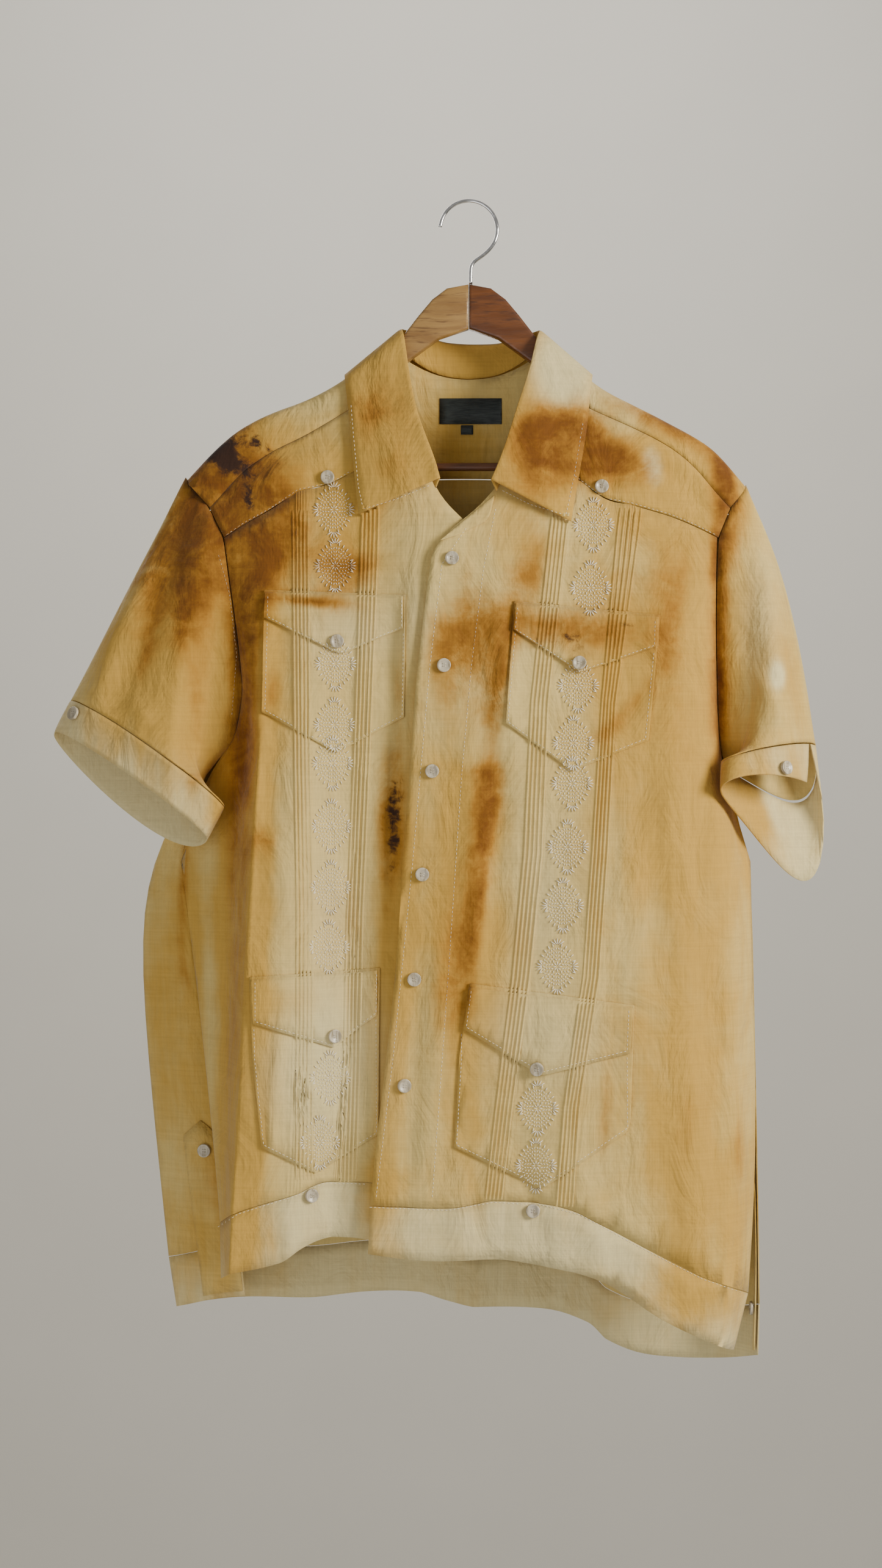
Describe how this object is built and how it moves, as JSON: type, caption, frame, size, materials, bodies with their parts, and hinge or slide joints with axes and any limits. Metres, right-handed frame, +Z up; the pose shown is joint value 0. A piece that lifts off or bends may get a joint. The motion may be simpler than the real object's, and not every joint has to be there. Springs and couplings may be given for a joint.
{
  "type": "embroidered button-down shirt on a hanger",
  "caption": "Short-sleeved linen guayabera with pointed pocket bands, fine tucks and embroidered medallions, hanging on a wooden hanger.",
  "frame": {"origin": "inside top of the hanger's hook, where the hanger is held up", "axes": "+Z up; the shirt's front faces -Y; +X is the wearer's left, the viewer's right"},
  "size_m": [0.6333, 0.1208, 0.9616],
  "materials": {
    "linen": "plain-woven linen, stained",
    "linen_collar": "two-ply linen, stained",
    "hem_linen": "two-ply linen, pale",
    "label": "woven, dark, blank",
    "pearl": "pearly",
    "oak": "satin varnish",
    "red_wood": "satin varnish",
    "chrome": "polished"
  },
  "bodies": {
    "root": {"back_panel": "linen", "back_yoke": "linen", "button_chest_left": "pearl", "button_chest_right": "pearl", "button_cuff_left": "pearl", "button_cuff_right": "pearl", "button_hem_left": "pearl", "button_hem_right": "pearl", "button_lower_left": "pearl", "button_lower_right": "pearl", "button_placket_1": "pearl", "button_placket_2": "pearl", "button_placket_3": "pearl", "button_placket_4": "pearl", "button_placket_5": "pearl", "button_placket_6": "pearl", "button_vent_left": "pearl", "button_vent_right": "pearl", "button_yoke_left": "pearl", "button_yoke_right": "pearl", "collar": "linen_collar", "cuff_left": "hem_linen", "cuff_right": "hem_linen", "front_overlap": "linen", "front_underlap": "linen", "front_yoke_left": "linen", "front_yoke_right": "linen", "hanger_arm_left": "oak", "hanger_arm_right": "red_wood", "hanger_bar": "red_wood", "hanger_hook": "chrome", "hem_band_back_panel": "hem_linen", "hem_band_front_overlap": "hem_linen", "hem_band_front_underlap": "hem_linen", "label": "label", "lapel_facing": "linen", "pocket_band_chest_left": "linen", "pocket_band_chest_right": "linen", "pocket_band_lower_left": "linen", "pocket_band_lower_right": "linen", "pocket_chest_left": "linen", "pocket_chest_right": "linen", "pocket_lower_left": "linen", "pocket_lower_right": "linen", "size_tab": "label", "sleeve_left": "linen", "sleeve_right": "linen", "vent_tab_left": "linen", "vent_tab_right": "linen"}
  },
  "joints": []
}
